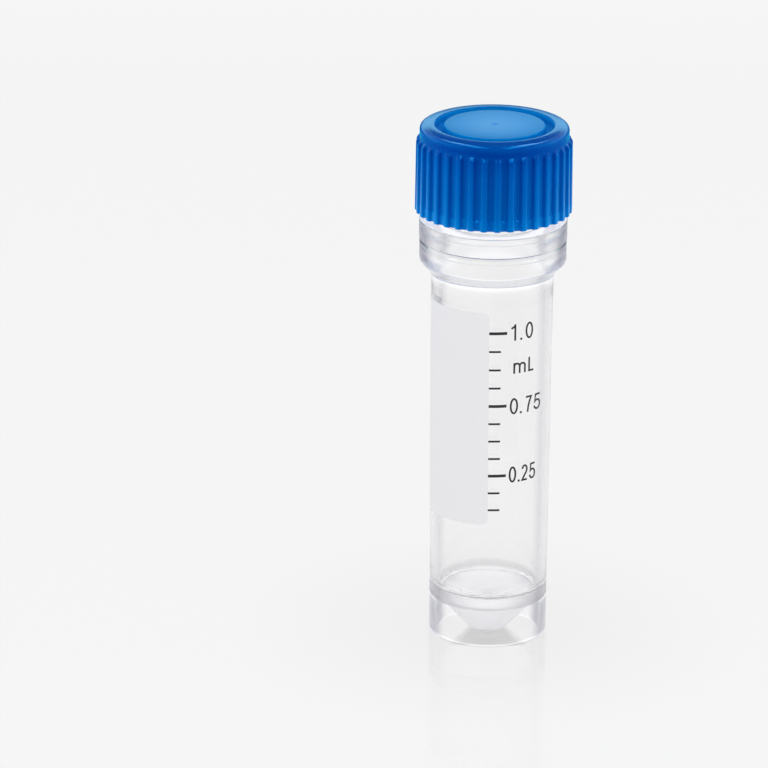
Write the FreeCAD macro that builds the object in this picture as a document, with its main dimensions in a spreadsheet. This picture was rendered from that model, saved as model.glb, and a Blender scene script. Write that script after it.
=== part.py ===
"""External-thread cryovial, 2 mL class: a clear self-standing tube, a blue ribbed screw cap and a silicone seal ring.

Millimetres, +Z up. The origin is the centre of the skirt's rest face, on the tube's axis. The graduated side of the
tube faces -Y. Every driving size is a cell of the sheet "dims", and every sketch and feature is bound to those cells.
"""

import FreeCAD, Part
import math
import os

import Sketcher

V = FreeCAD.Vector
doc = FreeCAD.newDocument("cryovial")

# ---------------------------------------------------------------------------------------------------- driving sizes
SIZES = [
    # tube body: 1 in 360 draft, so that the moulding leaves its tool
    ("skirt_or", 5.48, "outside radius of the skirt, without draft"),
    ("skirt_land", 4.00, "height where the skirt's straight land ends and the draft starts"),
    ("body_or", 5.64, "outside radius where the body meets the collar's fillet"),
    ("body_top", 35.19, "height of that line"),
    ("foot_round", 0.12, "rounding of the rest face's two edges"),
    # collar: two rings parted by a fine V groove
    ("collar_or", 6.80, "outside radius of the upper ring"),
    ("collar_lor", 6.76, "outside radius of the lower ring"),
    ("collar_low", 36.29, "height where the sloping shoulder would meet the lower ring"),
    ("shoulder_in", 1.30, "hollow radius between the body and the shoulder"),
    ("shoulder_out", 0.50, "round between the shoulder and the lower ring"),
    ("vee_low", 38.13, "lower edge of the V groove"),
    ("vee_mid", 38.28, "bottom of the V groove"),
    ("vee_top", 38.43, "upper edge of the V groove"),
    ("vee_r", 6.60, "radius at the bottom of the V groove"),
    ("collar_top", 40.33, "top face of the collar"),
    # neck and mouth
    ("neck_or", 5.45, "outside radius of the neck between the threads"),
    ("mouth_z", 47.00, "height of the mouth"),
    ("mouth_round", 0.15, "rounding of the mouth's edges"),
    ("mouth_ir", 4.84, "inside radius at the mouth"),
    ("neck_ledge", 33.65, "upper edge of the small ledge inside the neck"),
    ("neck_ir", 4.81, "inside radius just over the ledge"),
    ("bore_top", 33.10, "lower edge of the ledge"),
    ("bore_top_ir", 4.72, "inside radius just under the ledge"),
    ("bore_ir", 4.59, "inside radius at the bottom of the bore"),
    ("bore_low", 4.90, "height where the bore ends"),
    ("dish_r", 4.30, "radius where the rounding ends and the shallow cone of the floor starts"),
    ("dish_z", 4.44, "height of that line"),
    ("dish_tip_r", 0.70, "radius of the core's mark in the middle of the floor"),
    ("dish_tip_z", 3.56, "height of the floor at that mark"),
    ("dish_mark_z", 3.46, "height of the mark itself"),
    # underside: the solid conical foot inside the open skirt
    ("skirt_ir", 4.76, "inside radius of the skirt at the rest face"),
    ("skirt_tir", 4.70, "inside radius of the skirt at its top"),
    ("skirt_itop", 3.40, "height of that line"),
    ("web_r", 4.60, "outer radius of the flat web under the floor"),
    ("web_z", 3.50, "height of the web"),
    ("foot_r", 4.46, "radius where the conical foot starts"),
    ("foot_tr", 1.88, "radius of the foot's tip"),
    ("foot_z", 0.38, "height of the foot's tip"),
    ("gate_r", 0.66, "radius of the gate's stub on the tip"),
    ("gate_z", 0.28, "height of the stub's end"),
    # thread: one start, right hand, one and a quarter turns
    ("lead", 3.00, "rise in one turn"),
    ("thread_rise", 3.75, "height that each thread climbs"),
    ("male_r", 5.92, "crest radius of the neck's thread"),
    ("male_root", 5.30, "radius inside the neck where its profile starts"),
    ("male_z", 41.60, "centre height of the neck's thread at its lower end"),
    ("female_r", 5.55, "crest radius of the cap's thread"),
    ("female_root", 6.16, "radius inside the cap's wall where its profile starts"),
    ("female_z", 42.18, "centre height of the cap's thread at its lower end"),
    ("ridge_crest", 0.29, "half width of a thread at its crest"),
    ("ridge_root", 0.62, "half width of a thread at its root"),
    # cap
    ("cap_bottom", 41.03, "height of the cap's lower edge"),
    ("cap_top", 49.15, "height of the rim's top"),
    ("cap_band", 6.93, "outside radius of the low band between the ribs at the lower edge"),
    ("band_top", 41.92, "height where that band ends in a small bevelled ledge"),
    ("ledge_top", 42.00, "upper edge of the ledge"),
    ("cap_wall", 6.855, "outside radius between the ribs just over the ledge"),
    ("cap_wall_up", 6.85, "outside radius of the smooth band under the rim"),
    ("cap_smooth", 47.94, "height where the ribs end"),
    ("rim_round", 0.47, "rounding of the rim's outer edge"),
    ("rim_ir", 5.51, "inside radius of the rim"),
    ("rim_inner_round", 0.12, "rounding of the rim's inner edge"),
    ("recess_or", 5.40, "outside radius of the ring recess's floor"),
    ("recess_ir", 4.72, "inside radius of that floor"),
    ("recess_z", 48.42, "height of that floor"),
    ("disc_r", 4.60, "radius of the disc inside the recess"),
    ("disc_z", 49.12, "height of the disc"),
    ("disc_gate_r", 0.40, "radius of the gate's dimple in the disc"),
    ("disc_gate_z", 49.05, "height of the dimple's floor"),
    ("disc_stub_r", 0.13, "radius of the gate's stub in the dimple"),
    ("disc_stub_z", 49.11, "height of the stub"),
    ("cap_bore", 6.02, "inside radius of the cap between its threads"),
    ("cap_lead", 0.20, "lead-in chamfer at the cap's mouth"),
    ("cap_ceiling", 47.85, "underside of the cap's top"),
    ("rib_r", 7.22, "outside radius over the ribs at the lower edge"),
    ("rib_up_r", 7.16, "outside radius over the ribs at their upper end"),
    ("rib_up_z", 47.50, "height where the ribs start to run out"),
    ("rib_round", 0.15, "rounding along each rib"),
    ("rib_crest", 0.12, "half width of a rib's flat crest"),
    ("rib_root", 0.50, "half width of a rib at its root"),
    ("rib_root_r", 6.60, "radius inside the wall where a rib's profile starts"),
    ("rib_turn", 1.90, "angle of the first rib from the front, in degrees"),
    ("rib_count", 36, "ribs around the cap"),
    # seal ring
    ("seal_or", 5.97, "outside radius of the seal ring"),
    ("seal_ir", 3.90, "inside radius of the seal ring"),
    ("seal_low", 47.02, "underside of the seal ring"),
    ("seal_top", 47.83, "upper side of the seal ring"),
    ("seal_round", 0.12, "rounding of the seal ring's edges"),
]
sheet = doc.addObject("Spreadsheet::Sheet", "dims")
for row, (alias, value, what) in enumerate(SIZES, 1):
    sheet.set(f"A{row}", alias)
    sheet.set(f"B{row}", str(value))
    sheet.set(f"C{row}", what)
    sheet.setAlias(f"B{row}", alias)
doc.recompute()
VALUE = {alias: value for alias, value, _ in SIZES}


def number(expr):
    """The value of a sheet expression such as 'cap_top - rim_round'."""
    total, sign = 0.0, 1.0
    for word in expr.split():
        if word in "+-":
            sign = 1.0 if word == "+" else -1.0
        else:
            total += sign * (VALUE[word] if word in VALUE else float(word))
    return total


def bound(expr):
    return " ".join(f"dims.{w}" if w in VALUE else w for w in expr.split())


# ------------------------------------------------------------------------------------------------------ small helpers
def origin_item(body, role):
    return [f for f in body.Origin.OriginFeatures if f.Role == role][0]


def new_body(label):
    body = doc.addObject("PartDesign::Body", label)
    body.Label = label
    return body


def closed_profile(body, name, points, plane="XZ_Plane"):
    """A closed polyline. Each corner's two coordinates are bound to the sheet; a coordinate of '0' lies on the axis."""
    sk = body.newObject("Sketcher::SketchObject", name)
    sk.AttachmentSupport = (origin_item(body, plane), [""])
    sk.MapMode = "FlatFace"
    xy = [V(number(a), number(b), 0) for a, b in points]
    count = len(points)
    for i in range(count):
        sk.addGeometry(Part.LineSegment(xy[i], xy[(i + 1) % count]), False)
    for i in range(count):
        sk.addConstraint(Sketcher.Constraint("Coincident", i, 2, (i + 1) % count, 1))
    for i, (a, b) in enumerate(points):
        for kind, expr, value in (("DistanceX", a, xy[i].x), ("DistanceY", b, xy[i].y)):
            if expr == "0":
                axis = -2 if kind == "DistanceX" else -1
                sk.addConstraint(Sketcher.Constraint("PointOnObject", i, 1, axis))
                continue
            at = sk.addConstraint(Sketcher.Constraint(kind, -1, 1, i, 1, value))
            sk.setExpression(f"Constraints[{at}]", bound(expr))
    return sk


def turned(body, name, sk, kind="PartDesign::Revolution"):
    feature = body.newObject(kind, name)
    feature.Profile = (sk, [""])
    feature.ReferenceAxis = (sk, ["V_Axis"])
    feature.Angle = 360.0
    doc.recompute()
    return feature


def ring_edges(feature, places):
    """Names of the circular edges of a turned feature at each (radius, height)."""
    names = []
    for r, z in places:
        hit = []
        for i, e in enumerate(feature.Shape.Edges, 1):
            if isinstance(e.Curve, Part.Circle) and abs(e.Curve.Radius - r) < 0.004 and abs(e.Curve.Center.z - z) < 0.004:
                hit.append(f"Edge{i}")
        if not hit:
            raise RuntimeError(f"no edge at radius {r}, height {z} on {feature.Name}")
        names += hit
    return names


def rounded(body, name, base, places, radius):
    f = body.newObject("PartDesign::Fillet", name)
    f.Base = (base, ring_edges(base, places))
    f.Radius = number(radius)
    f.setExpression("Radius", bound(radius))
    doc.recompute()
    return f


def helix(body, name, points):
    """A one-start right-hand ridge of the given cross-section, climbing thread_rise."""
    sk = closed_profile(body, name + "_section", points)
    f = body.newObject("PartDesign::AdditiveHelix", name)
    f.Profile = (sk, [""])
    f.ReferenceAxis = (sk, ["V_Axis"])
    f.Mode = 0
    f.Pitch = VALUE["lead"]
    f.Height = VALUE["thread_rise"]
    f.setExpression("Pitch", "dims.lead")
    f.setExpression("Height", "dims.thread_rise")
    f.LeftHanded = False
    f.Reversed = False
    doc.recompute()
    return f


# --------------------------------------------------------------------------------------------------------------- tube
tube = new_body("tube")
tube_sk = closed_profile(
    tube,
    "tube_section",
    [
        ("skirt_ir", "0"),
        ("skirt_or", "0"),
        ("skirt_or", "skirt_land"),
        ("body_or", "body_top"),
        ("collar_lor", "collar_low"),
        ("collar_lor", "vee_low"),
        ("vee_r", "vee_mid"),
        ("collar_or", "vee_top"),
        ("collar_or", "collar_top"),
        ("neck_or", "collar_top"),
        ("neck_or", "mouth_z"),
        ("mouth_ir", "mouth_z"),
        ("neck_ir", "neck_ledge"),
        ("bore_top_ir", "bore_top"),
        ("bore_ir", "bore_low"),
        ("dish_r", "dish_z"),
        ("dish_tip_r", "dish_tip_z"),
        ("dish_tip_r - 0.04", "dish_mark_z"),
        ("0", "dish_mark_z"),
        ("0", "gate_z"),
        ("gate_r - 0.05", "gate_z"),
        ("gate_r", "foot_z"),
        ("foot_tr", "foot_z"),
        ("foot_r", "web_z"),
        ("web_r", "web_z"),
        ("skirt_tir", "skirt_itop"),
    ],
)
tube_turn = turned(tube, "tube_turned", tube_sk)
n = number
shoulder = rounded(tube, "shoulder_hollow", tube_turn, [(n("body_or"), n("body_top"))], "shoulder_in")
shoulder2 = rounded(tube, "shoulder_round", shoulder, [(n("collar_lor"), n("collar_low"))], "shoulder_out")
floor_round = rounded(tube, "floor_round", shoulder2, [(n("bore_ir"), n("bore_low"))], "foot_round + foot_round")
foot = rounded(tube, "foot_rounds", floor_round, [(n("skirt_or"), 0.0), (n("skirt_ir"), 0.0)], "foot_round")
mouth = rounded(tube, "mouth_rounds", foot, [(n("neck_or"), n("mouth_z")), (n("mouth_ir"), n("mouth_z"))], "mouth_round")
collar = rounded(
    tube,
    "collar_rounds",
    mouth,
    [(n("collar_or"), n("collar_top")), (n("foot_tr"), n("foot_z"))],
    "foot_round",
)
# it starts on the -X side, half a turn from the cap's, so that the cap's ridge lies just under it
neck_thread = helix(
    tube,
    "neck_thread",
    [
        ("- male_root", "male_z - ridge_root"),
        ("- male_r", "male_z - ridge_crest"),
        ("- male_r", "male_z + ridge_crest"),
        ("- male_root", "male_z + ridge_root"),
    ],
)

# ---------------------------------------------------------------------------------------------------------- screw cap
cap = new_body("screw_cap")
cap_sk = closed_profile(
    cap,
    "cap_section",
    [
        ("cap_bore + cap_lead", "cap_bottom"),
        ("cap_band", "cap_bottom"),
        ("cap_band", "band_top"),
        ("cap_wall", "ledge_top"),
        ("cap_wall_up", "cap_smooth"),
        ("cap_wall_up", "cap_top"),
        ("rim_ir", "cap_top"),
        ("recess_or", "recess_z"),
        ("recess_ir", "recess_z"),
        ("disc_r", "disc_z"),
        ("disc_gate_r", "disc_z"),
        ("disc_gate_r - 0.06", "disc_gate_z"),
        ("disc_stub_r", "disc_gate_z"),
        ("disc_stub_r - 0.03", "disc_stub_z"),
        ("0", "disc_stub_z"),
        ("0", "cap_ceiling"),
        ("cap_bore", "cap_ceiling"),
        ("cap_bore", "cap_bottom + cap_lead"),
    ],
)
cap_turn = turned(cap, "cap_turned", cap_sk)
rim = rounded(cap, "rim_round", cap_turn, [(n("cap_wall_up"), n("cap_top"))], "rim_round")
rim2 = rounded(cap, "rim_edges", rim, [(n("rim_ir"), n("cap_top")), (n("disc_r"), n("disc_z"))], "rim_inner_round")

# one rib: a rounded bar that is carried around the wall, then trimmed to the draft and the run-out
rib_sk = cap.newObject("Sketcher::SketchObject", "rib_section")
rib_sk.AttachmentSupport = (origin_item(cap, "XY_Plane"), [""])
rib_sk.MapMode = "FlatFace"
rib_sk.AttachmentOffset = FreeCAD.Placement(V(0, 0, n("cap_bottom")), FreeCAD.Rotation(V(0, 0, 1), VALUE["rib_turn"]))
rib_sk.setExpression("AttachmentOffset.Base.z", "dims.cap_bottom")
rib_sk.setExpression("AttachmentOffset.Rotation.Angle", "dims.rib_turn")
cr, rt, rr, top, low = n("rib_crest"), n("rib_root"), n("rib_round"), n("rib_r"), n("rib_root_r")


def tangent_point(x0, y0, cx, cy, radius):
    """Where the line from (x0, y0) touches the circle's left side."""
    d = math.hypot(cx - x0, cy - y0)
    base = math.atan2(cy - y0, cx - x0)
    off = math.asin(radius / d)
    reach = math.sqrt(d * d - radius * radius)
    return x0 + reach * math.cos(base + off), y0 + reach * math.sin(base + off)


# the bar points along -Y, towards the graduated side
lx, ly = tangent_point(rt, low, cr, top - rr, rr)
if lx < cr:
    lx, ly = cr + rr, top - rr
L0 = rib_sk.addGeometry(Part.LineSegment(V(-rt, -low, 0), V(-lx, -ly, 0)), False)
a1 = math.atan2(-ly + (top - rr), -lx + cr)
A0 = rib_sk.addGeometry(
    Part.Arc(
        V(-lx, -ly, 0),
        V(-cr - rr * math.sin(math.pi / 4), -(top - rr) - rr * math.cos(math.pi / 4), 0),
        V(-cr, -top, 0),
    ),
    False,
)
L1 = rib_sk.addGeometry(Part.LineSegment(V(-cr, -top, 0), V(cr, -top, 0)), False)
A1 = rib_sk.addGeometry(
    Part.Arc(
        V(cr, -top, 0),
        V(cr + rr * math.sin(math.pi / 4), -(top - rr) - rr * math.cos(math.pi / 4), 0),
        V(lx, -ly, 0),
    ),
    False,
)
L2 = rib_sk.addGeometry(Part.LineSegment(V(lx, -ly, 0), V(rt, -low, 0)), False)
L3 = rib_sk.addGeometry(Part.LineSegment(V(rt, -low, 0), V(-rt, -low, 0)), False)


def ends(geo):
    g = rib_sk.Geometry[geo]
    return {1: g.StartPoint, 2: g.EndPoint}


def joined(kind, ga, gb):
    """Ties the two nearest ends of two curves, with 'Coincident' or 'Tangent'."""
    best = min(((a, b) for a in (1, 2) for b in (1, 2)), key=lambda p: ends(ga)[p[0]].distanceToPoint(ends(gb)[p[1]]))
    rib_sk.addConstraint(Sketcher.Constraint(kind, ga, best[0], gb, best[1]))


joined("Tangent", L0, A0)
joined("Tangent", A0, L1)
joined("Tangent", L1, A1)
joined("Tangent", A1, L2)
joined("Coincident", L2, L3)
joined("Coincident", L3, L0)
for kind, geo, pos, expr, sign in (
    ("DistanceX", A0, 3, "rib_crest", -1),
    ("DistanceY", A0, 3, "rib_r - rib_round", -1),
    ("DistanceX", A1, 3, "rib_crest", 1),
    ("DistanceY", A1, 3, "rib_r - rib_round", -1),
    ("DistanceX", L0, 1, "rib_root", -1),
    ("DistanceY", L0, 1, "rib_root_r", -1),
    ("DistanceX", L2, 2, "rib_root", 1),
    ("DistanceY", L2, 2, "rib_root_r", -1),
):
    at = rib_sk.addConstraint(Sketcher.Constraint(kind, -1, 1, geo, pos, sign * n(expr)))
    rib_sk.setExpression(f"Constraints[{at}]", bound(expr) if sign > 0 else f"-({bound(expr)})")
at = rib_sk.addConstraint(Sketcher.Constraint("Radius", A0, rr))
rib_sk.setExpression(f"Constraints[{at}]", "dims.rib_round")
at = rib_sk.addConstraint(Sketcher.Constraint("Radius", A1, rr))
rib_sk.setExpression(f"Constraints[{at}]", "dims.rib_round")
doc.recompute()

rib = cap.newObject("PartDesign::Pad", "rib")
rib.Profile = (rib_sk, [""])
rib.Length = n("cap_smooth - cap_bottom")
rib.setExpression("Length", bound("cap_smooth - cap_bottom"))
doc.recompute()
ribs = cap.newObject("PartDesign::PolarPattern", "ribs")
ribs.Originals = [rib]
ribs.Axis = (rib_sk, ["N_Axis"])
ribs.Angle = 360.0
ribs.Occurrences = int(VALUE["rib_count"])
ribs.setExpression("Occurrences", "dims.rib_count")
cap.Tip = ribs
doc.recompute()
before = ribs.Shape.Volume
trim_sk = closed_profile(
    cap,
    "rib_trim_section",
    [
        ("rib_r", "cap_bottom - 0.5"),
        ("rib_r", "cap_bottom"),
        ("rib_up_r", "rib_up_z"),
        ("rib_up_r - 0.09", "rib_up_z + 0.20"),
        ("cap_wall_up", "cap_smooth"),
        ("cap_wall_up", "cap_smooth + 0.5"),
        ("rib_r + 1.0", "cap_smooth + 0.5"),
        ("rib_r + 1.0", "cap_bottom - 0.5"),
    ],
)
trim = turned(cap, "rib_trim", trim_sk, "PartDesign::Groove")
if not trim.Shape.Volume < before - 0.5:
    raise RuntimeError("the ribs were not trimmed")
cap_thread = helix(
    cap,
    "cap_thread",
    [
        ("female_root", "female_z - ridge_root"),
        ("female_root", "female_z + ridge_root"),
        ("female_r", "female_z + ridge_crest"),
        ("female_r", "female_z - ridge_crest"),
    ],
)

# ---------------------------------------------------------------------------------------------------------- seal ring
seal = new_body("seal_ring")
seal_sk = closed_profile(
    seal,
    "seal_section",
    [("seal_ir", "seal_low"), ("seal_or", "seal_low"), ("seal_or", "seal_top"), ("seal_ir", "seal_top")],
)
seal_turn = turned(seal, "seal_turned", seal_sk)
seal_edges = rounded(
    seal,
    "seal_rounds",
    seal_turn,
    [(n(r), n(z)) for r in ("seal_ir", "seal_or") for z in ("seal_low", "seal_top")],
    "seal_round",
)

# ------------------------------------------------------------------------------------------------- check and write out
doc.recompute()
for obj in doc.Objects:
    if any(bad in obj.State for bad in ("Invalid", "Error")):
        raise RuntimeError(f"{obj.Name} failed: {obj.State}")
os.makedirs("parts", exist_ok=True)
for body in (tube, cap, seal):
    shape = body.Shape
    if shape.isNull() or not shape.isValid() or len(shape.Solids) != 1:
        raise RuntimeError(f"{body.Label}: not one valid solid ({len(shape.Solids)})")
    box = shape.BoundBox
    print(
        f"{body.Label}: volume {shape.Volume:.2f} mm3, box x {box.XMin:.3f}..{box.XMax:.3f} y {box.YMin:.3f}..{box.YMax:.3f} z {box.ZMin:.3f}..{box.ZMax:.3f}, faces {len(shape.Faces)}"
    )
    shape.exportStep(f"parts/{body.Label}.step")
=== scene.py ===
"""The cryovial's looks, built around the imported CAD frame. Metres, +Z up, origin at the centre of the rest face.

The graduated side faces -Y. Angles named phi are measured from that side, positive towards +X.
"""

import math

import bmesh
import bpy
import numpy as np
from mathutils import Matrix, Vector


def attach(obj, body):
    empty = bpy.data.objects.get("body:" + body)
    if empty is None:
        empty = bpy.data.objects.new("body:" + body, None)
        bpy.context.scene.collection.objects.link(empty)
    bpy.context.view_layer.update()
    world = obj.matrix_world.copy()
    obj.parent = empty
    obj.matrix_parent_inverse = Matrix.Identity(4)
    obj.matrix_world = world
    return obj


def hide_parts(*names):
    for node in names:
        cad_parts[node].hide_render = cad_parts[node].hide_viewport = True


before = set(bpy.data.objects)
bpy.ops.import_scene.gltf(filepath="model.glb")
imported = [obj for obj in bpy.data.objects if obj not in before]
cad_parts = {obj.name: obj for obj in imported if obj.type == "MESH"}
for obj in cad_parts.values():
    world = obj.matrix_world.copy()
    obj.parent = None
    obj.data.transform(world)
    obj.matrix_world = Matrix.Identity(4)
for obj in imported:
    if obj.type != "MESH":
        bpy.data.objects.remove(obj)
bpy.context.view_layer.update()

MM = 0.001
TAU = 2.0 * math.pi


# ------------------------------------------------------------------------------------------------------ mesh helpers
def rounded_path(points, closed=False):
    """points: (r, z) or (r, z, radius) corners in mm. Returns the polyline with each radius turned into a real arc."""
    out, count = [], len(points)
    for i, p in enumerate(points):
        radius = p[2] if len(p) > 2 else 0.0
        if radius <= 0 or (not closed and i in (0, count - 1)):
            out.append((p[0], p[1]))
            continue
        a = Vector(points[i - 1][:2])
        b = Vector(p[:2])
        c = Vector(points[(i + 1) % count][:2])
        u, v = (a - b).normalized(), (c - b).normalized()
        half = math.acos(max(-1.0, min(1.0, u.dot(v)))) / 2.0
        reach = radius / math.tan(half)
        start, end = b + u * reach, b + v * reach
        centre = b + (u + v).normalized() * (radius / math.sin(half))
        a0 = math.atan2(start.y - centre.y, start.x - centre.x)
        a1 = math.atan2(end.y - centre.y, end.x - centre.x)
        while a1 - a0 > math.pi:
            a1 -= TAU
        while a1 - a0 < -math.pi:
            a1 += TAU
        steps = max(3, int(math.ceil(abs(a1 - a0) / math.radians(15.0))))
        for k in range(steps + 1):
            t = a0 + (a1 - a0) * k / steps
            out.append((centre.x + radius * math.cos(t), centre.y + radius * math.sin(t)))
    return out


def divided(path, longest, low=None, high=None, r_low=0.0, r_high=99.0):
    """The path with every span between the given heights and radii cut to at most longest mm."""
    out = [path[0]]
    for (r0, z0), (r1, z1) in zip(path, path[1:]):
        span = math.hypot(r1 - r0, z1 - z0)
        inside = low is None or (min(z0, z1) < high and max(z0, z1) > low)
        inside = inside and r_low <= min(r0, r1) and max(r0, r1) <= r_high
        steps = max(1, int(math.ceil(span / longest))) if inside else 1
        for k in range(1, steps + 1):
            out.append((r0 + (r1 - r0) * k / steps, z0 + (z1 - z0) * k / steps))
    return out


def turned(name, path, angles, shape=None, closed=True, crease=32.0):
    """A surface of revolution through the path's rings; shape(phi, r, z, index) may move a ring's radius."""
    verts, rings = [], []
    n = len(angles)
    for j, (r, z) in enumerate(path):
        if r < 1e-6:
            rings.append([len(verts)] * n)
            verts.append((0.0, 0.0, z * MM))
            continue
        row = []
        for phi in angles:
            rr = shape(phi, r, z, j) if shape else r
            row.append(len(verts))
            verts.append((rr * MM * math.sin(phi), -rr * MM * math.cos(phi), z * MM))
        rings.append(row)
    faces = []
    last = len(path) if closed else len(path) - 1
    for j in range(last):
        a, b = rings[j], rings[(j + 1) % len(path)]
        for i in range(n):
            k = (i + 1) % n
            quad = []
            for v in (a[i], a[k], b[k], b[i]):
                if v not in quad:
                    quad.append(v)
            if len(quad) > 2:
                faces.append(quad)
    me = bpy.data.meshes.new(name)
    me.from_pydata(verts, [], faces)
    bm = bmesh.new()
    bm.from_mesh(me)
    bmesh.ops.recalc_face_normals(bm, faces=bm.faces)
    bm.to_mesh(me)
    bm.free()
    me.polygons.foreach_set("use_smooth", [True] * len(me.polygons))
    me.set_sharp_from_angle(angle=math.radians(crease))
    ob = bpy.data.objects.new(name, me)
    bpy.context.scene.collection.objects.link(ob)
    return ob


def smoothstep(a, b, x):
    t = min(1.0, max(0.0, (x - a) / (b - a)))
    return t * t * (3.0 - 2.0 * t)


def ridge(alpha, z, start_deg, start_z, lead, turn_deg, crest_hw, root_hw, run_deg=28.0):
    """0 to 1: how far up a one-start right-hand thread ridge the point at angle alpha (degrees from +X) and height z is."""
    best = 0.0
    for k in range(-1, 4):
        a = alpha + 360.0 * k - start_deg
        if a < 0.0 or a > turn_deg:
            continue
        off = abs(z - (start_z + lead * a / 360.0))
        if off >= root_hw:
            continue
        up = min(1.0, (root_hw - off) / (root_hw - crest_hw))
        up *= smoothstep(0.0, run_deg, a) * smoothstep(0.0, run_deg, turn_deg - a)
        best = max(best, up)
    return best


# ---------------------------------------------------------------------------------------------------- material helpers
def material(name):
    m = bpy.data.materials.new(name)
    m.use_nodes = True
    nt = m.node_tree
    return m, nt, nt.nodes["Principled BSDF"]


def node(nt, kind, **inputs):
    made = nt.nodes.new(kind)
    for key, value in inputs.items():
        made.inputs[key.replace("_", " ")].default_value = value
    return made


def object_coords(nt, scale=(1.0, 1.0, 1.0)):
    tc = nt.nodes.new("ShaderNodeTexCoord")
    mp = nt.nodes.new("ShaderNodeMapping")
    mp.inputs["Scale"].default_value = scale
    nt.links.new(tc.outputs["Object"], mp.inputs["Vector"])
    return mp.outputs["Vector"]


def noise(nt, vector, scale, detail=3.0, roughness=0.5):
    t = nt.nodes.new("ShaderNodeTexNoise")
    t.inputs["Scale"].default_value = scale
    t.inputs["Detail"].default_value = detail
    t.inputs["Roughness"].default_value = roughness
    nt.links.new(vector, t.inputs["Vector"])
    return t.outputs["Fac"]


def ranged(nt, value, a, b, lo=0.0, hi=1.0):
    mr = nt.nodes.new("ShaderNodeMapRange")
    mr.inputs["From Min"].default_value = lo
    mr.inputs["From Max"].default_value = hi
    mr.inputs["To Min"].default_value = a
    mr.inputs["To Max"].default_value = b
    nt.links.new(value, mr.inputs["Value"])
    return mr.outputs["Result"]


def bumped(nt, shader, height, strength, distance):
    b = nt.nodes.new("ShaderNodeBump")
    b.inputs["Strength"].default_value = strength
    b.inputs["Distance"].default_value = distance
    nt.links.new(height, b.inputs["Height"])
    nt.links.new(b.outputs["Normal"], shader.inputs["Normal"])
    return b


def tinted(nt, value, stops):
    ramp = nt.nodes.new("ShaderNodeValToRGB")
    el = ramp.color_ramp.elements
    el[0].position, el[0].color = stops[0][0], (*stops[0][1], 1.0)
    el[1].position, el[1].color = stops[-1][0], (*stops[-1][1], 1.0)
    for pos, col in stops[1:-1]:
        e = el.new(pos)
        e.color = (*col, 1.0)
    nt.links.new(value, ramp.inputs["Fac"])
    return ramp.outputs["Color"]


# ---------------------------------------------------------------------------------------------------------- materials
def place(nt):
    """Object-space height and distance from the axis."""
    tc = nt.nodes.new("ShaderNodeTexCoord")
    sep = nt.nodes.new("ShaderNodeSeparateXYZ")
    nt.links.new(tc.outputs["Object"], sep.inputs["Vector"])
    flat = nt.nodes.new("ShaderNodeCombineXYZ")
    nt.links.new(sep.outputs["X"], flat.inputs["X"])
    nt.links.new(sep.outputs["Y"], flat.inputs["Y"])
    far = nt.nodes.new("ShaderNodeVectorMath")
    far.operation = "LENGTH"
    nt.links.new(flat.outputs["Vector"], far.inputs[0])
    return sep.outputs["Z"], far.outputs["Value"]


def times(nt, a, b, operation="MULTIPLY"):
    made = nt.nodes.new("ShaderNodeMath")
    made.operation = operation
    for k, v in enumerate((a, b)):
        if isinstance(v, (int, float)):
            made.inputs[k].default_value = v
        else:
            nt.links.new(v, made.inputs[k])
    return made.outputs["Value"]


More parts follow.
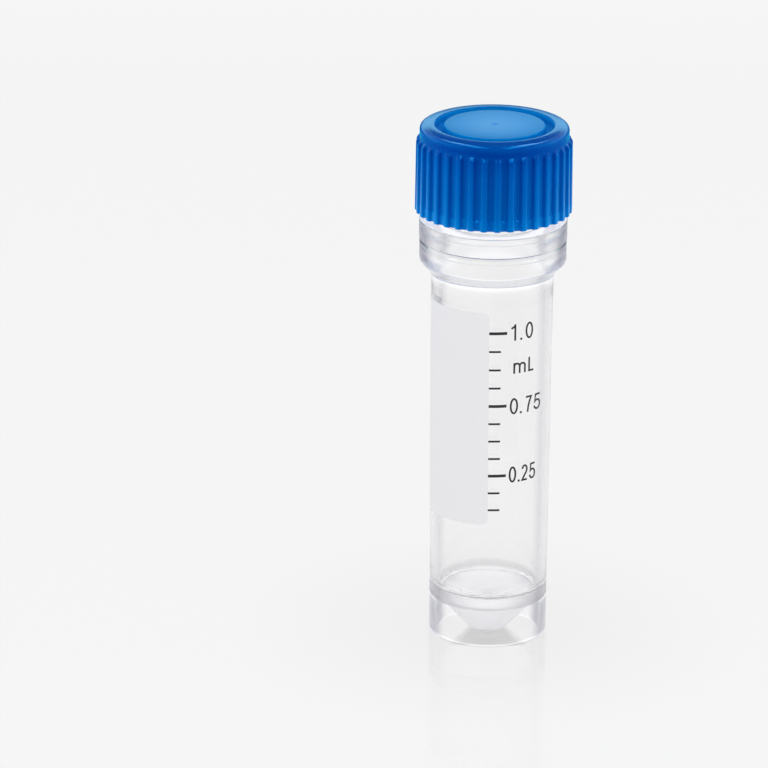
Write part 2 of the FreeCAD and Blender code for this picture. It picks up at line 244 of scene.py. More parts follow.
def clear_plastic():
    """Clear polypropylene, a little milky where it is thick: in the collar and on the solid foot. Its base colour
    carries painted shade where the wall is seen edge on, and its emission paints glow on the foot, the dish and the
    collar's top, with a painted highlight along the skirt's bottom edge.
    """
    m, nt, b = material("clear_polypropylene")
    b.inputs["IOR"].default_value = 1.47
    b.inputs["Emission Color"].default_value = (0.98, 0.97, 1.0, 1.0)
    height, far = place(nt)
    foot = times(nt, ranged(nt, height, 1.0, 0.0, 0.00348, 0.00356), ranged(nt, far, 1.0, 0.0, 0.00462, 0.00468))
    # painted shade: the base colour greys towards lavender grey where the wall is seen edge on, most on the skirt, the
    # collar and beside the plate, and in a band along the body's edges
    edge = nt.nodes.new("ShaderNodeLayerWeight")
    edge.inputs["Blend"].default_value = 0.5
    low = ranged(nt, height, SKIRT_EDGE_SHADE, WALL_EDGE_SHADE, 0.0033, 0.0036)
    high = times(nt, ranged(nt, height, 0.0, COLLAR_EDGE_SHADE, 0.0363, 0.0369), ranged(nt, height, 1.0, 0.0, 0.04015, 0.04028))
    edge_shade_mask = times(nt, times(nt, low, high, "ADD"), ranged(nt, far, 0.0, 1.0, 0.00466, 0.00469))
    painted_edge_shade = times(nt, edge_shade_mask, ranged(nt, edge.outputs["Facing"], 0.0, 1.0, 0.42, 0.62))
    body = times(nt, times(nt, ranged(nt, height, 0.0, BODY_EDGE_SHADE, 0.0034, 0.0037), ranged(nt, height, 1.0, 0.0, 0.0349, 0.0352)), ranged(nt, far, 0.0, 1.0, 0.00530, 0.00535))
    body_shade_band = times(nt, ranged(nt, edge.outputs["Facing"], 0.0, 1.0, 0.36, 0.48), ranged(nt, edge.outputs["Facing"], 1.0, 0.15, 0.52, 0.72))
    painted_edge_shade = times(nt, painted_edge_shade, times(nt, body, body_shade_band), "ADD")
    plate = times(nt, times(nt, ranged(nt, height, 0.0, 1.0, 0.00345, 0.00360), ranged(nt, height, 1.0, 0.0, 0.00475, 0.00492)), ranged(nt, far, 0.0, 1.0, 0.00520, 0.00530))
    painted_edge_shade = times(nt, painted_edge_shade, times(nt, plate, PLATE_EDGE_SHADE), "ADD")
    nt.links.new(tinted(nt, painted_edge_shade, [(0.0, (1.0, 1.0, 1.0)), (1.0, (0.26, 0.26, 0.33))]), b.inputs["Base Color"])
    collar = times(nt, ranged(nt, height, 0.0, 1.0, 0.0340, 0.0352), ranged(nt, far, 0.0, 1.0, 0.00550, 0.00575))
    flow = noise(nt, object_coords(nt, (1.0, 1.0, 0.22)), 420.0, 2.0)
    plain = ranged(nt, flow, WALL_R0, WALL_R1)
    top = times(nt, times(nt, ranged(nt, height, 0.0, 1.0, 0.04028, 0.04032), ranged(nt, height, 1.0, 0.0, 0.04036, 0.04042)), ranged(nt, far, 0.0, 1.0, 0.00548, 0.00556))
    rough = times(nt, times(nt, times(nt, plain, times(nt, plate, PLATE_R), "ADD"), times(nt, foot, FOOT_R), "ADD"), times(nt, collar, COLLAR_R), "ADD")
    nt.links.new(rough, b.inputs["Roughness"])
    clearness = times(nt, times(nt, WALL_T, times(nt, foot, WALL_T - FOOT_T), "SUBTRACT"), times(nt, collar, WALL_T - COLLAR_T), "SUBTRACT")
    # painted glow: emission on the thick foot, on the dish above it and on the collar's top, and a painted highlight
    # line along the skirt's bottom edge
    painted_heel_highlight = times(nt, ranged(nt, height, HEEL_PAINTED_HIGHLIGHT, 0.0, 0.00003, 0.00008), ranged(nt, far, 0.0, 1.0, 0.00470, 0.00480))
    painted_glows = times(nt, times(nt, ranged(nt, height, FOOT_PAINTED_GLOW, 0.0, 0.00335, 0.00345), foot), times(nt, top, TOP_PAINTED_GLOW), "ADD")
    painted_dish_glow = times(nt, times(nt, ranged(nt, height, 0.0, 1.0, 0.00350, 0.00353), ranged(nt, height, 1.0, 0.0, 0.00438, 0.00450)), times(nt, ranged(nt, far, 0.0, DISH_PAINTED_GLOW, 0.0012, 0.0038), ranged(nt, far, 1.0, 0.0, 0.00438, 0.00445)))
    nt.links.new(times(nt, times(nt, painted_glows, painted_dish_glow, "ADD"), painted_heel_highlight, "ADD"), b.inputs["Emission Strength"])
    nt.links.new(clearness, b.inputs["Transmission Weight"])
    bumped(nt, b, flow, 0.035, 0.00004)
    depth = nt.nodes.new("ShaderNodeVolumeAbsorption")
    depth.inputs["Color"].default_value = (0.90, 0.89, 0.91, 1.0)
    depth.inputs["Density"].default_value = 80.0
    nt.links.new(depth.outputs["Volume"], nt.nodes["Material Output"].inputs["Volume"])
    return m


def blue_plastic(name, stops, level, rough):
    """Blue polypropylene whose base colour is painted with shade by height through the given stops, a little further
    along them in the valleys between the ribs, over a faint random mottle.
    """
    m, nt, b = material(name)
    co = object_coords(nt)
    tc = nt.nodes.new("ShaderNodeTexCoord")
    sep = nt.nodes.new("ShaderNodeSeparateXYZ")
    nt.links.new(tc.outputs["Object"], sep.inputs["Vector"])
    # painted shade: the colour follows height through the stops
    height = ranged(nt, sep.outputs["Z"], 0.0, 1.0, 0.0410, 0.0492)
    mottle = ranged(nt, noise(nt, co, 260.0, 4.0, 0.6), -0.05, 0.05)
    painted_shade_and_mottle = nt.nodes.new("ShaderNodeMath")
    painted_shade_and_mottle.operation = "ADD"
    _, far = place(nt)
    # painted shade in the valleys between the ribs
    valley_shade = times(nt, ranged(nt, far, 0.02, 0.0, 0.00688, 0.00702), ranged(nt, sep.outputs["Z"], 1.0, 0.0, 0.0466, 0.0476))
    nt.links.new(times(nt, height, valley_shade, "ADD"), painted_shade_and_mottle.inputs[0])
    nt.links.new(mottle, painted_shade_and_mottle.inputs[1])
    nt.links.new(tinted(nt, painted_shade_and_mottle.outputs["Value"], stops), b.inputs["Base Color"])
    fine = noise(nt, co, 2600.0, 2.0, 0.5)
    nt.links.new(ranged(nt, fine, rough, rough + 0.07), b.inputs["Roughness"])
    b.inputs["IOR"].default_value = 1.49
    b.inputs["Specular IOR Level"].default_value = level
    b.inputs["Specular Tint"].default_value = (0.0, 0.48, 1.0, 1.0)
    bumped(nt, b, fine, 0.03, 0.00001)
    return m


def blue_face_plastic():
    m, nt, b = material("blue_polypropylene_disc_painted_highlight")
    tc = nt.nodes.new("ShaderNodeTexCoord")
    sep = nt.nodes.new("ShaderNodeSeparateXYZ")
    nt.links.new(tc.outputs["Object"], sep.inputs["Vector"])
    flat = nt.nodes.new("ShaderNodeCombineXYZ")
    nt.links.new(sep.outputs["X"], flat.inputs["X"])
    nt.links.new(sep.outputs["Y"], flat.inputs["Y"])
    far = nt.nodes.new("ShaderNodeVectorMath")
    far.operation = "LENGTH"
    nt.links.new(flat.outputs["Vector"], far.inputs[0])
    # painted highlight: the disc's base colour is lightest and greyest at its centre, deepening to saturated blue at
    # its edge
    disc_highlight_falloff = ranged(nt, far.outputs["Value"], 0.0, 1.0, 0.0, 0.0046)
    stops = [(0.0, (0.085, 0.272, 0.65)), (0.45, (0.054, 0.240, 0.63)), (0.75, (0.022, 0.196, 0.575)), (1.0, (0.0, 0.150, 0.49))]
    nt.links.new(tinted(nt, disc_highlight_falloff, stops), b.inputs["Base Color"])
    fine = noise(nt, object_coords(nt), 2600.0, 3.0, 0.6)
    nt.links.new(ranged(nt, fine, 0.36, 0.46), b.inputs["Roughness"])
    b.inputs["IOR"].default_value = 1.49
    b.inputs["Specular IOR Level"].default_value = 0.30
    b.inputs["Specular Tint"].default_value = (0.0, 0.48, 1.0, 1.0)
    bumped(nt, b, fine, 0.06, 0.00001)
    return m


def silicone():
    m, nt, b = material("seal_silicone")
    co = object_coords(nt)
    fine = noise(nt, co, 2500.0, 3.0, 0.6)
    nt.links.new(tinted(nt, fine, [(0.3, (0.72, 0.74, 0.73)), (0.7, (0.78, 0.79, 0.78))]), b.inputs["Base Color"])
    b.inputs["Roughness"].default_value = 0.55
    b.inputs["Subsurface Weight"].default_value = 0.2
    b.inputs["Subsurface Radius"].default_value = (0.0006, 0.0006, 0.0005)
    bumped(nt, b, fine, 0.15, 0.00003)
    return m


def white_ink(name="white_ink"):
    m, nt, b = material(name)
    co = object_coords(nt)
    grain = noise(nt, co, 5200.0, 3.0, 0.6)
    nt.links.new(tinted(nt, grain, [(0.3, (0.925, 0.910, 0.938)), (0.7, (0.950, 0.935, 0.962))]), b.inputs["Base Color"])
    b.inputs["Roughness"].default_value = 0.62
    bumped(nt, b, grain, 0.25, 0.00002)
    return m


def black_ink():
    m, nt, b = material("black_ink")
    co = object_coords(nt)
    grain = noise(nt, co, 6000.0, 3.0, 0.6)
    nt.links.new(tinted(nt, grain, [(0.3, (0.003, 0.003, 0.004)), (0.8, (0.009, 0.009, 0.010))]), b.inputs["Base Color"])
    b.inputs["Roughness"].default_value = 0.42
    return m


WALL_R0, WALL_R1, FOOT_R, COLLAR_R = 0.05, 0.08, 0.45, 0.16  # roughness, and what the foot and the collar add
PLATE_R, PLATE_EDGE_SHADE = 0.26, 0.18  # the wall beside the thick plate: its roughness, and its painted edge shade
WALL_T, FOOT_T, COLLAR_T = 0.985, 0.96, 0.95  # share of light let through
FOOT_PAINTED_GLOW, DISH_PAINTED_GLOW, TOP_PAINTED_GLOW, HEEL_PAINTED_HIGHLIGHT = 0.115, 0.13, 0.36, 0.24  # painted glow on the thick foot, the dish and the collar's top, and a painted highlight on the skirt's bottom edge
SKIRT_EDGE_SHADE, WALL_EDGE_SHADE, BODY_EDGE_SHADE, COLLAR_EDGE_SHADE = 0.95, 0.04, 0.36, 1.0  # painted shade: how much the wall's base colour greys where it is seen edge on
clear = clear_plastic()
# painted shade on the cap's sides: lightest at the skirt's lower edge, darkening upwards to the band under the rim, a
# little lighter again on the rim
CAP_SIDE_SHADE_STOPS = [(0.0, (0.0, 0.132, 0.535)), (0.17, (0.0, 0.098, 0.455)), (0.34, (0.0, 0.083, 0.42)), (0.62, (0.0, 0.070, 0.395)), (0.75, (0.0, 0.056, 0.365)), (0.88, (0.0, 0.028, 0.272)), (1.0, (0.0, 0.070, 0.38))]
blue = blue_plastic("blue_polypropylene", CAP_SIDE_SHADE_STOPS, 0.20, 0.11)
blue_groove = blue_plastic("blue_polypropylene_groove", [(0.0, (0.0, 0.25, 0.68)), (1.0, (0.0, 0.21, 0.62))], 0.05, 0.45)
blue_face = blue_face_plastic()
# painted glow: inside, the thin wall gets a lighter blue and emission, standing in for the light that comes through it
blue_inside_painted_glow = blue_plastic("blue_polypropylene_inside_painted_glow", [(0.0, (0.08, 0.36, 0.78)), (1.0, (0.06, 0.30, 0.74))], 0.30, 0.20)
blue_inside_painted_glow.node_tree.nodes["Principled BSDF"].inputs["Emission Color"].default_value = (0.30, 0.55, 1.0, 1.0)
blue_inside_painted_glow.node_tree.nodes["Principled BSDF"].inputs["Emission Strength"].default_value = 0.28
rubber = silicone()
white = white_ink()
white_ink_painted_glow_face = white_ink("white_ink_inner_face_painted_glow")  # painted glow: emission on the ink's inner face stands in for light coming through the thin ink
white_ink_painted_glow_face.node_tree.nodes["Principled BSDF"].inputs["Emission Color"].default_value = (0.98, 0.97, 1.0, 1.0)
white_ink_painted_glow_face.node_tree.nodes["Principled BSDF"].inputs["Emission Strength"].default_value = 0.30
black = black_ink()

# --------------------------------------------------------------------------------------------------------------- tube
TUBE_SIDES = 288
TUBE_ANGLES = [TAU * i / TUBE_SIDES for i in range(TUBE_SIDES)]
CORE, CREST = 5.45, 5.92
outline = rounded_path(
    [
        (5.12, 0.0),
        (5.48, 0.0, 0.12),
        (5.48, 4.0),
        (5.64, 35.19, 1.30),
        (6.76, 36.29, 0.50),
        (6.76, 37.72),
        (6.73, 37.76),
        (6.76, 37.80),
        (6.76, 38.13, 0.03),
        (6.60, 38.28, 0.03),
        (6.80, 38.43, 0.03),
        (6.80, 39.56),
        (6.765, 39.61),
        (6.80, 39.66),
        (6.80, 40.10),
        (6.75, 40.16),
        (6.80, 40.22),
        (6.80, 40.33, 0.08),
        (CORE, 40.33, 0.10),
        (CORE, 47.0, 0.15),
        (4.84, 47.0, 0.15),
        (4.81, 34.10, 0.60),
        (4.72, 32.90, 0.60),
        (4.59, 4.90, 0.24),
        (4.30, 4.44, 0.20),
        (0.70, 3.56, 0.05),
        (0.66, 3.46, 0.04),
        (0.0, 3.46),
        (0.0, 0.28),
        (0.61, 0.28, 0.04),
        (0.66, 0.38, 0.03),
        (1.88, 0.38, 0.12),
        (4.46, 3.50, 0.05),
        (4.60, 3.50, 0.05),
        (4.70, 3.40, 0.05),
        (4.76, 0.0, 0.12),
    ]
)
outline = divided(outline, 0.075, 40.5, 46.8, 5.40, 5.50)
outline = divided(outline, 2.4)


def tube_shape(phi, r, z, j):
    if abs(r - CORE) < 1e-4 and 40.5 < z < 46.85:
        alpha = (math.degrees(phi) - 90.0) % 360.0
        return CORE + (CREST - CORE) * ridge(alpha, z, 180.0, 41.60, 3.0, 450.0, 0.29, 0.54)
    return r


tube = turned("tube_shell", outline, TUBE_ANGLES, tube_shape)
tube.data.materials.append(clear)
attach(tube, "tube_body")
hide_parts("tube")

# ---------------------------------------------------------------------------------------------------------------- cap
RIBS, RIB_TURN, RIB_REF = 36, math.radians(1.9), 7.2
LATERAL = [0.0, 0.12, 0.177, 0.226, 0.256, 0.30, 0.345, 0.372, 0.40, 0.44]  # mm from a rib's middle
RIB_LIFT = [1.0, 1.0, 0.968, 0.878, 0.757, 0.49, 0.23, 0.10, 0.03, 0.0]  # share of the rib's height there
cap_angles, cap_lift = [], []
for i in range(RIBS):
    mid = TAU * i / RIBS + RIB_TURN
    for s, up in reversed(list(zip(LATERAL, RIB_LIFT))[1:]):
        cap_angles.append(mid - s / RIB_REF)
        cap_lift.append(up)
    for s, up in zip(LATERAL, RIB_LIFT):
        cap_angles.append(mid + s / RIB_REF)
        cap_lift.append(up)
    cap_angles.append(mid + math.pi / RIBS)
    cap_lift.append(0.0)

RUN_LOW, RUN_HIGH = 47.50, 47.94
RIM_CROWN = [(r, 49.15 - 0.08 * ((r - 5.56) / 0.82) ** 2) for r in (6.38, 6.26, 6.14, 6.02, 5.90, 5.78, 5.66)]
cap_path = rounded_path(
    [
        (6.93, 41.03, 0.06),
        (6.93, 41.92, 0.02),
        (6.855, 42.00, 0.03),
        (6.85, 47.40),
    ]
    + [(6.85, RUN_LOW + (RUN_HIGH - RUN_LOW) * k / 8.0) for k in range(9)]
    + [
        (6.85, 49.07, 0.43),
    ]
    + RIM_CROWN
    + [
        (5.51, 49.15, 0.06),
        (5.40, 48.42, 0.12),
        (4.72, 48.42, 0.12),
        (4.60, 49.12, 0.12),
        (2.30, 49.12),
        (0.40, 49.12),
        (0.34, 49.05),
        (0.13, 49.05),
        (0.10, 49.11),
        (0.0, 49.11),
        (0.0, 47.85),
        (6.02, 47.85, 0.10),
        (6.02, 41.23, 0.02),
        (6.22, 41.03, 0.02),
    ],
    closed=True,
)
cap_path = divided(cap_path + [cap_path[0]], 0.16, 41.3, 47.7, 5.9, 6.1)[:-1]
lift_at = dict(zip(cap_angles, cap_lift))


def cap_shape(phi, r, z, j):
    if r > 6.80 and z < RUN_HIGH + 1e-6:
        up = lift_at[phi]
        if up <= 0.0:
            return r
        crest = 7.22 - 0.06 * max(0.0, z - 41.03) / 6.47
        fade = 1.0
        if z > RUN_LOW:
            fade = 1.0 - ((z - RUN_LOW) / (RUN_HIGH - RUN_LOW)) ** 1.55
        return r + (crest - 0.05 * max(0.0, 41.09 - z) / 0.06 - r) * up * fade
    if abs(r - 6.02) < 1e-4 and 41.3 < z < 47.7:
        alpha = (math.degrees(phi) - 90.0) % 360.0
        return 6.02 - (6.02 - 5.55) * ridge(alpha, z, 0.0, 42.18, 3.0, 450.0, 0.29, 0.53)
    return r


cap = turned("cap_shell", cap_path, cap_angles, cap_shape, crease=38.0)
cap.data.materials.append(blue)
cap.data.materials.append(blue_face)
cap.data.materials.append(blue_groove)
cap.data.materials.append(blue_inside_painted_glow)
for poly in cap.data.polygons:
    c = poly.center
    out = math.hypot(c.x, c.y)
    if c.z > 49.0 * MM and out < 4.56 * MM:
        poly.material_index = 1
    elif c.z > 48.3 * MM and 4.56 * MM < out < 5.50 * MM:
        poly.material_index = 2
    elif (out < 6.10 * MM and 41.1 * MM < c.z < 47.9 * MM):
        poly.material_index = 3
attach(cap, "cap_body")
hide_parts("screw_cap")

# ---------------------------------------------------------------------------------------------------------- seal ring
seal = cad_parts["seal_ring"]
seal.data.materials.clear()
seal.data.materials.append(rubber)

# -------------------------------------------------------------------------------------------------------------- print
INK_LOW, INK_HIGH = 0.006, 0.026  # mm above the tube's outside, so that the ink has a skin of its own


def body_radius(z):
    return 5.48 if z < 4.0 else 5.48 + (5.64 - 5.48) * (z - 4.0) / (35.19 - 4.0)


def wrapped_sheet(name, flat_verts, flat_faces):
    """A closed thin skin on the tube from flat polygons: (arc length in mm from the front, height in mm)."""
    verts, faces = [], []
    n = len(flat_verts)
    for lift in (INK_HIGH, INK_LOW):
        for s, z in flat_verts:
            r = body_radius(z)
            phi = s / r
            verts.append(((r + lift) * MM * math.sin(phi), -(r + lift) * MM * math.cos(phi), z * MM))
    count = {}
    for f in flat_faces:
        faces.append(list(f))
        faces.append([v + n for v in reversed(f)])
        for a, b in zip(f, list(f[1:]) + [f[0]]):
            count[(a, b)] = True
    for a, b in list(count):
        if (b, a) not in count:
            faces.append([b, a, a + n, b + n])
    me = bpy.data.meshes.new(name)
    me.from_pydata(verts, [], faces)
    bm = bmesh.new()
    bm.from_mesh(me)
    bmesh.ops.recalc_face_normals(bm, faces=bm.faces)
    bm.to_mesh(me)
    bm.free()
    me.polygons.foreach_set("use_smooth", [True] * len(me.polygons))
    me.set_sharp_from_angle(angle=math.radians(30.0))
    ob = bpy.data.objects.new(name, me)
    bpy.context.scene.collection.objects.link(ob)
    return ob


def band(width_left, width_right, low, high, cols, rows, corner=0.0, ragged=None):
    """A grid of quads for the writing patch, with rounded corners."""
    verts, faces, index = [], [], {}
    for i in range(cols + 1):
        s = width_left + (width_right - width_left) * i / cols
        cut = 0.0
        for edge, inward in ((width_left, 1), (width_right, -1)):
            d = (s - edge) * inward
            if d < corner:
                cut = max(cut, corner - math.sqrt(max(0.0, corner * corner - (corner - d) ** 2)))
        lo, hi = low + cut, high - cut
        if ragged:
            hi += ragged(s)
        for j in range(rows + 1):
            index[i, j] = len(verts)
            verts.append((s, lo + (hi - lo) * j / rows))
    for i in range(cols):
        for j in range(rows):
            faces.append((index[i, j], index[i + 1, j], index[i + 1, j + 1], index[i, j + 1]))
    return verts, faces


patch_verts, patch_faces = band(-9.35, -0.23, 12.15, 32.80, 130, 40, corner=0.55)
patch_verts = [(s - 0.10 * (z - 13.6) / 17.2, z) for s, z in patch_verts]
patch = wrapped_sheet("writing_patch", patch_verts, patch_faces)
patch.data.materials.append(white)
patch.data.materials.append(white_ink_painted_glow_face)
for poly in patch.data.polygons:
    if poly.normal.x * poly.center.x + poly.normal.y * poly.center.y < -0.5 * math.hypot(poly.center.x, poly.center.y):
        poly.material_index = 1
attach(patch, "tube_body")


def stroke(points, width, closed=False):
    """A monoline stroke as quads, mitred at its corners."""
    pts = [Vector(p) for p in points]
    n = len(pts)
    left, right = [], []
    for i, p in enumerate(pts):
        if closed:
            a, c = pts[i - 1], pts[(i + 1) % n]
        else:
            a, c = pts[max(0, i - 1)], pts[min(n - 1, i + 1)]
        d0 = (p - a).normalized() if (p - a).length > 1e-9 else (c - p).normalized()
        d1 = (c - p).normalized() if (c - p).length > 1e-9 else d0
        t = (d0 + d1)
        t = t.normalized() if t.length > 1e-6 else d0
        nrm = Vector((-t.y, t.x))
        scale = 1.0 / max(0.5, nrm.dot(Vector((-d0.y, d0.x))))
        left.append(p + nrm * (width / 2.0 * scale))
        right.append(p - nrm * (width / 2.0 * scale))
    verts = [tuple(v) for v in left] + [tuple(v) for v in right]
    faces = []
    for i in range(n if closed else n - 1):
        k = (i + 1) % n
        faces.append((i + n, k + n, k, i))
    return verts, faces


def arc(cx, cy, rx, ry, a0, a1, steps=12):
    return [
        (cx + rx * math.cos(math.radians(a0 + (a1 - a0) * k / steps)), cy + ry * math.sin(math.radians(a0 + (a1 - a0) * k / steps)))
        for k in range(steps + 1)
    ]


# generic narrow sans characters on a unit cap height: strokes, and the advance to the next one
W = 0.115
GLYPHS = {
    "0": ([(arc(0.285, 0.5, 0.205, 0.445, 0, 345, 23), True)], 0.600),
    "1": ([([(0.335, 0.0), (0.335, 0.985)], False), ([(0.335, 0.93), (0.26, 0.82), (0.12, 0.735)], False)], 0.540),
    "2": ([(arc(0.285, 0.70, 0.195, 0.245, 170, -20, 12) + [(0.40, 0.50), (0.17, 0.19), (0.085, 0.057), (0.50, 0.057)], False)], 0.590),
    "5": ([([(0.475, 0.943), (0.165, 0.943), (0.115, 0.50)] + arc(0.275, 0.335, 0.200, 0.278, 128, -165, 16), False)], 0.600),
    "7": ([([(0.055, 0.943), (0.495, 0.943), (0.36, 0.66), (0.255, 0.33), (0.215, 0.0)], False)], 0.585),
    ".": ([([(0.13, 0.0), (0.13, 0.125)], False)], 0.300),
    "m": (
        [
            ([(0.095, 0.0), (0.095, 0.735)], False),
            ([(0.095, 0.50)] + arc(0.25, 0.50, 0.155, 0.185, 150, 0, 8) + [(0.405, 0.0)], False),
            ([(0.405, 0.50)] + arc(0.565, 0.50, 0.155, 0.185, 150, 0, 8) + [(0.72, 0.0)], False),
        ],
        0.840,
    ),
    "L": ([([(0.105, 1.0), (0.105, 0.057), (0.50, 0.057)], False)], 0.560),
}

ink_verts, ink_faces = [], []


def add_ink(verts, faces):
    base = len(ink_verts)
    ink_verts.extend(verts)
    ink_faces.extend([tuple(v + base for v in f) for f in faces])


def bar(s0, s1, z, thick, steps=14):
    verts, faces = [], []
    for i in range(steps + 1):
        s = s0 + (s1 - s0) * i / steps
        verts += [(s, z - thick / 2.0), (s, z + thick / 2.0)]
    for i in range(steps):
        faces.append((2 * i, 2 * i + 2, 2 * i + 3, 2 * i + 1))
    add_ink(verts, faces)


PEN = 0.178  # mm, the width of every stroke


def text(z, height, placed):
    """Characters, each fitted between two arc lengths from the front."""
    for ch, s0, s1 in placed:
        strokes, _ = GLYPHS[ch]
        if ch == ".":
            mid = (s0 + s1) / 2.0
            v, f = stroke([(mid, z), (mid, z + 0.20)], 0.20)
            add_ink(v, f)
            continue
        xs = [x for points, _ in strokes for x, _ in points]
        low, scale = min(xs), (s1 - s0 - PEN) / max(1e-6, max(xs) - min(xs))
        for points, closed in strokes:
            v, f = stroke([(s0 + PEN / 2.0 + (x - low) * scale, z + y * height) for x, y in points], PEN, closed)
            add_ink(v, f)


def print_edge(z):
    """The print stands a little askew: where its ticks start and the patch ends."""
    return -0.23 - 0.10 * (z - 13.6) / 17.2


TICK_Z = [30.864, 29.094, 27.311, 25.548, 23.80, 22.075, 20.369, 18.658, 16.978, 15.283, 13.611]
for k, z in enumerate(TICK_Z):
    long_one = k in (0, 4, 8)
    start = print_edge(z)
    bar(start, start + (1.655 if long_one else 1.085), z, 0.275 if long_one else 0.185)
text(30.09, 1.60, [("1", 1.64, 2.19), (".", 2.62, 2.82), ("0", 3.17, 4.02)])
text(26.88, 1.39, [("m", 1.97, 3.25), ("L", 3.54, 4.24)])
text(22.93, 1.57, [("0", 1.68, 2.50), (".", 2.70, 2.90), ("7", 3.24, 4.03), ("5", 4.25, 5.19)])
text(16.23, 1.58, [("0", 1.68, 2.43), (".", 2.60, 2.80), ("2", 2.98, 3.70), ("5", 3.84, 4.64)])
scale_print = wrapped_sheet("scale_print", ink_verts, ink_faces)
scale_print.data.materials.append(black)
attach(scale_print, "tube_body")

# -------------------------------------------------------------------------------------------------------------- stage
K = 0.94 * MM  # metres in one unit of the solved camera
FOCAL, ELEVATION, ROLL, DISTANCE, AT_X, AT_Y = 5600.0, 19.52, 0.475, 560.1, 487.2, 624.69
e, roll = math.radians(ELEVATION), math.radians(ROLL)
back = Vector((0.0, -math.cos(e), math.sin(e)))
right = Vector((0.0, 0.0, 1.0)).cross(back).normalized()
up = back.cross(right)
x_axis = right * math.cos(roll) + up * math.sin(roll)
y_axis = -right * math.sin(roll) + up * math.cos(roll)
px, py, pz = (AT_X - 384.0) / FOCAL * DISTANCE, -(AT_Y - 384.0) / FOCAL * DISTANCE, -DISTANCE
centre = -(x_axis * px + y_axis * py + back * pz) * K
cam_data = bpy.data.cameras.new("camera")
cam_data.sensor_width = 36.0
cam_data.lens = FOCAL / 768.0 * 36.0
cam_data.clip_start = 0.01
cam_data.clip_end = 20.0
cam = bpy.data.objects.new("camera", cam_data)
bpy.context.scene.collection.objects.link(cam)
cam.matrix_world = Matrix(
    (
        (x_axis.x, y_axis.x, back.x, centre.x),
        (x_axis.y, y_axis.y, back.y, centre.y),
        (x_axis.z, y_axis.z, back.z, centre.z),
        (0.0, 0.0, 0.0, 1.0),
    )
)
bpy.context.scene.camera = cam

floor_me = bpy.data.meshes.new("floor")
S = 4.0
floor_me.from_pydata([(-S, -S, 0), (S, -S, 0), (S, S, 0), (-S, S, 0)], [], [(0, 1, 2, 3)])
floor = bpy.data.objects.new("floor", floor_me)
bpy.context.scene.collection.objects.link(floor)
fm, fnt, fb = material("pale_floor")
fb.inputs["Base Color"].default_value = (0.05, 0.05, 0.051, 1.0)
fb.inputs["Roughness"].default_value = 0.09
fb.inputs["Specular IOR Level"].default_value = 0.7
fb.inputs["Emission Color"].default_value = (1.0, 1.0, 1.0, 1.0)
ftc = fnt.nodes.new("ShaderNodeTexCoord")
fsep = fnt.nodes.new("ShaderNodeSeparateXYZ")
fnt.links.new(ftc.outputs["Object"], fsep.inputs["Vector"])

# painted shadow: a soft wedge of shade in front of the foot, a dark contact line round the front of the skirt and a
# faint shade near the vial, all painted on the floor by taking them off its emission
across = times(fnt, fsep.outputs["X"], 1.0, "ABSOLUTE")
ahead = times(fnt, fsep.outputs["Y"], -1.0)
spread = times(fnt, times(fnt, ahead, 0.31), 0.0016, "ADD")
painted_wedge_shadow = ranged(fnt, times(fnt, across, spread, "DIVIDE"), 1.0, 0.0, 0.80, 1.25)
painted_wedge_shadow = times(fnt, painted_wedge_shadow, ranged(fnt, ahead, 0.0, 1.0, -0.0015, 0.0010))
painted_wedge_shadow = times(fnt, painted_wedge_shadow, ranged(fnt, ahead, 1.0, 0.0, 0.0046, 0.0053))
flat = fnt.nodes.new("ShaderNodeCombineXYZ")
fnt.links.new(fsep.outputs["X"], flat.inputs["X"])
fnt.links.new(fsep.outputs["Y"], flat.inputs["Y"])
span = fnt.nodes.new("ShaderNodeVectorMath")
span.operation = "LENGTH"
fnt.links.new(flat.outputs["Vector"], span.inputs[0])
out = span.outputs["Value"]
painted_contact_line = times(fnt, ranged(fnt, out, 0.0, 1.0, 0.00546, 0.00551), ranged(fnt, out, 1.0, 0.0, 0.00553, 0.00563))
painted_contact_line = times(fnt, painted_contact_line, ranged(fnt, ahead, 0.0, 1.0, 0.0025, 0.0048))
painted_near_shade = ranged(fnt, out, 1.0, 0.0, 0.0055, 0.0250)
painted_floor_shade = times(fnt, times(fnt, painted_wedge_shadow, 0.34), times(fnt, times(fnt, painted_contact_line, 0.45), times(fnt, painted_near_shade, 0.062), "ADD"), "ADD")
# the floor's emission is painted brighter towards the camera and dimmer towards the back
painted_floor_falloff = ranged(fnt, fsep.outputs["Y"], 0.765, 0.665, -0.06, 0.18)
fnt.links.new(times(fnt, painted_floor_falloff, times(fnt, 1.0, painted_floor_shade, "SUBTRACT")), fb.inputs["Emission Strength"])
floor_me.materials.append(fm)

DARK_Z0, DARK_Z1, SIDE_GAIN, DARK_COLOUR = 0.225, 0.270, -0.30, (0.84, 0.84, 0.86, 1.0)
world = bpy.data.worlds.new("studio")
bpy.context.scene.world = world
world.use_nodes = True
wnt = world.node_tree
bg = wnt.nodes["Background"]


def wmath(op, a, b=None, clamp=False):
    made = wnt.nodes.new("ShaderNodeMath")
    made.operation = op
    made.use_clamp = clamp
    for k, v in enumerate((a, b)):
        if v is None:
            continue
        if isinstance(v, (int, float)):
            made.inputs[k].default_value = v
        else:
            wnt.links.new(v, made.inputs[k])
    return made.outputs["Value"]


def wstep(value, lo, hi, a, b):
    mr = wnt.nodes.new("ShaderNodeMapRange")
    mr.interpolation_type = "SMOOTHSTEP"
    mr.inputs["From Min"].default_value = lo
    mr.inputs["From Max"].default_value = hi
    mr.inputs["To Min"].default_value = a
    mr.inputs["To Max"].default_value = b
    wnt.links.new(value, mr.inputs["Value"])
    return mr.outputs["Result"]


def wvec(operation, a, b):
    made = wnt.nodes.new("ShaderNodeVectorMath")
    made.operation = operation
    wnt.links.new(a, made.inputs[0])
    made.inputs[1].default_value = b
    return made.outputs["Value"]


